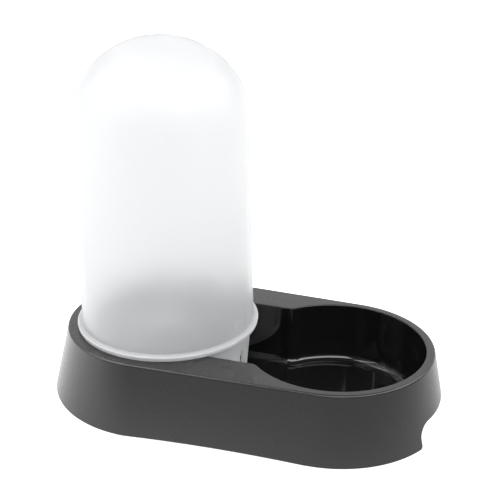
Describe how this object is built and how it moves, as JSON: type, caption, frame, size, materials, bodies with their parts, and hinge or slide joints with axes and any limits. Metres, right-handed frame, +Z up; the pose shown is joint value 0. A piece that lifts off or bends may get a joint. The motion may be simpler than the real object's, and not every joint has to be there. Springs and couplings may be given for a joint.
{
  "type": "gravity pet feeder",
  "caption": "Domed translucent tank standing mouth down in the round well of a long low tray; a neck joins the well to a round open bowl.",
  "frame": {"origin": "centre of the overall plan size, on the surface that the feet stand on", "axes": "+X runs from the tank to the bowl, +Z is up"},
  "size_m": [0.3386, 0.2036, 0.3076],
  "materials": {
    "tray_plastic": "black polypropylene, fine satin grain outside and polished in the basin",
    "foot_rubber": "matt",
    "tank_plastic": "frosted translucent polypropylene",
    "cup_plastic": "frosted translucent polypropylene, slightly greyer than the tank",
    "seal_rubber": "silicone",
    "valve_plastic": "satin",
    "spring_steel": "drawn wire"
  },
  "bodies": {
    "base": {"tray": "tray_plastic", "foot_1": "foot_rubber", "foot_2": "foot_rubber", "foot_3": "foot_rubber", "foot_4": "foot_rubber"},
    "tank": {"tank_shell": "tank_plastic"},
    "closure": {"outlet_cup": "cup_plastic", "valve_plate": "cup_plastic", "flange_gasket": "seal_rubber", "valve_spring": "spring_steel"},
    "valve": {"valve_plunger": "valve_plastic", "valve_seal": "seal_rubber", "valve_button": "valve_plastic"}
  },
  "joints": [
    {"name": "tank_lift", "type": "slide", "parent": "base", "child": "tank", "axis": [0, 0, 1], "range_m": [0, 0.06]},
    {"name": "cup_twist", "type": "hinge", "parent": "tank", "child": "closure", "pos_m": [-0.07236, 0, 0.059], "axis": [0, 0, 1], "range_deg": [-45, 0]},
    {"name": "valve_travel", "type": "slide", "parent": "closure", "child": "valve", "axis": [0, 0, 1], "range_m": [-0.004, 0], "deforming": ["valve_spring"]}
  ],
  "couplings": [
    {"joint": "valve_travel", "follows": "tank_lift", "ratio": -0.066666}
  ]
}
